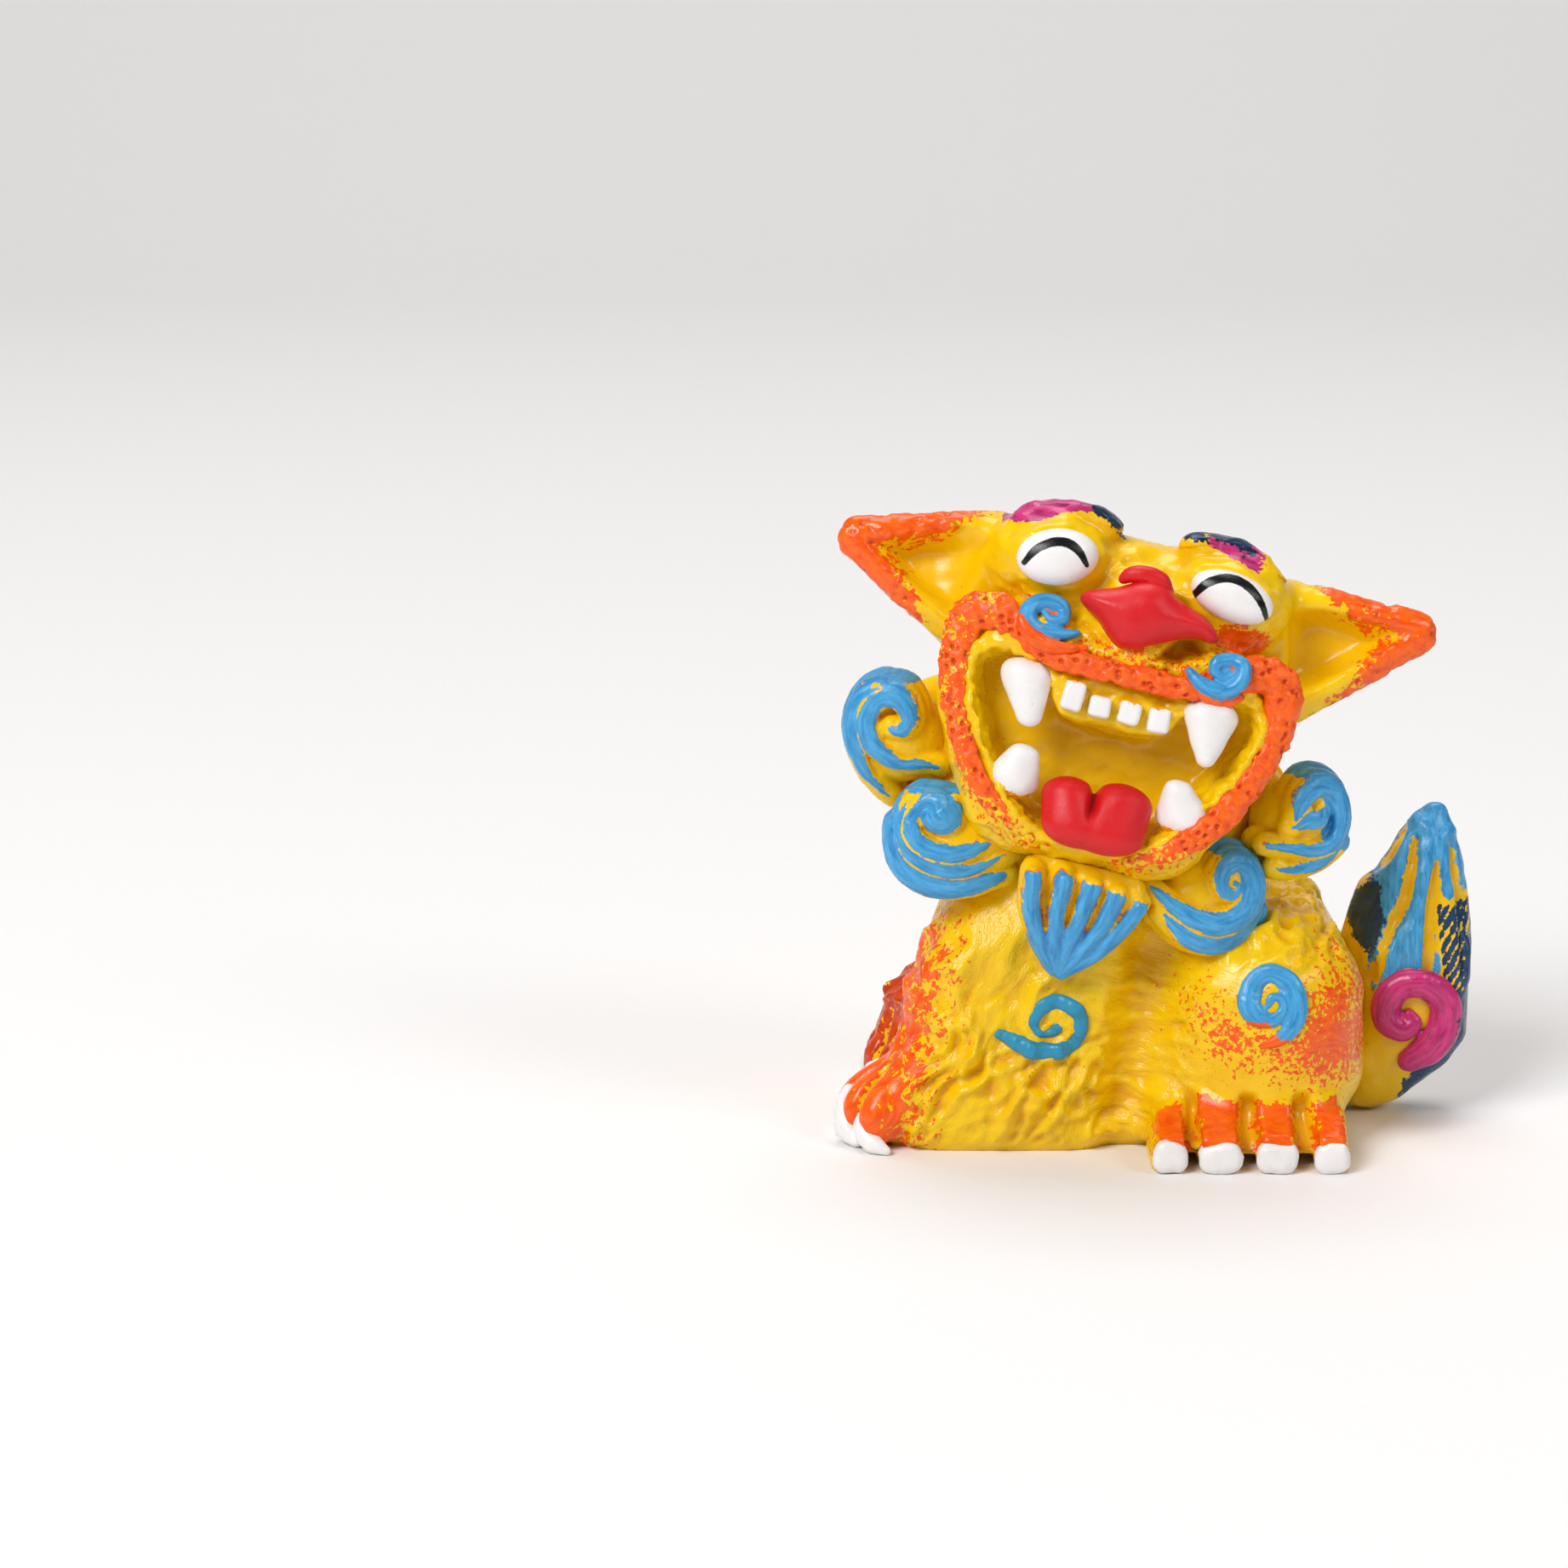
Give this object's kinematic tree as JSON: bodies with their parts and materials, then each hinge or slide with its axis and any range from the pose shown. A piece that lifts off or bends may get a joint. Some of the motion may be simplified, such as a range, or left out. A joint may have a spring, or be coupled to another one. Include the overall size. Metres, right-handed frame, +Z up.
{
  "type": "guardian lion figurine",
  "caption": "Seated guardian lion figurine with a turned laughing head, open mouth with fangs, curled mane, clawed feet and upright tail; stands on a flat base as an ornament.",
  "frame": {"origin": "on the floor, under the middle of the belly", "axes": "+Z up, +X from chest to tail, -Y the side that the face looks to"},
  "size_m": [0.0581, 0.0402, 0.0578],
  "materials": {
    "yellow_paint": "brush-painted, semi-gloss",
    "white_paint": "brush-painted, semi-gloss",
    "magenta_paint": "brush-painted, semi-gloss",
    "red_paint": "brush-painted, semi-gloss",
    "orange_paint": "brush-painted, semi-gloss",
    "blue_paint": "brush-painted, semi-gloss"
  },
  "bodies": {
    "root": {"torso": "yellow_paint", "foreleg_left": "yellow_paint", "foreleg_right": "yellow_paint", "hind_leg_left": "yellow_paint", "hind_leg_right": "yellow_paint", "claws_fore_left": "white_paint", "claws_fore_right": "white_paint", "claws_hind_left": "white_paint", "claws_hind_right": "white_paint", "head": "yellow_paint", "ear_left": "yellow_paint", "ear_right": "yellow_paint", "brow_left": "magenta_paint", "brow_right": "magenta_paint", "eye_left": "white_paint", "eye_right": "white_paint", "nose": "red_paint", "lip": "orange_paint", "moustache_left": "blue_paint", "moustache_right": "blue_paint", "fang_upper_left": "white_paint", "fang_upper_right": "white_paint", "fang_lower_left": "white_paint", "fang_lower_right": "white_paint", "incisors": "white_paint", "tongue": "red_paint", "beard": "blue_paint", "mane_left_upper": "blue_paint", "mane_left_lower": "blue_paint", "mane_right_upper": "blue_paint", "mane_right_lower": "blue_paint", "mane_back_left": "blue_paint", "mane_back_right": "blue_paint", "mane_nape_left": "blue_paint", "mane_nape_right": "blue_paint", "chest_curl": "blue_paint", "hip_curl_left": "blue_paint", "hip_curl_right": "blue_paint", "tail": "blue_paint", "tail_curl": "magenta_paint"}
  },
  "joints": []
}
